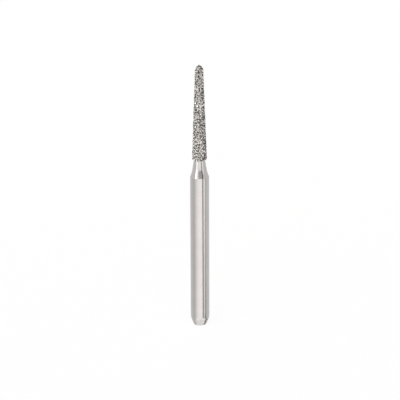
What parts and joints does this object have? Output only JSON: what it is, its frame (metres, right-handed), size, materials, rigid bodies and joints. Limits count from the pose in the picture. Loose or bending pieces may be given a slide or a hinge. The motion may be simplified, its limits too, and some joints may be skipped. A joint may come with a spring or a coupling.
{
  "type": "dental bur",
  "caption": "Friction-grip diamond bur for a dental turbine: plain ground shank, slim neck and a tapered, pointed head coated with diamond grit.",
  "frame": {"origin": "centre of the shank's flat end face, which the bur stands on", "axes": "+Z along the bur's axis, from the shank end to the tip of the head; X and Y are any two directions across it"},
  "size_m": [0.0016, 0.0016, 0.0227],
  "materials": {
    "steel": "ground stainless steel, satin bright, with fine marks round the shank and a tumbled bevel",
    "diamond_grit": "coarse diamond grains held in electroplated nickel, grey and sparkling"
  },
  "bodies": {
    "root": {"steel_blank": "steel", "diamond_coat": "diamond_grit"}
  },
  "joints": []
}
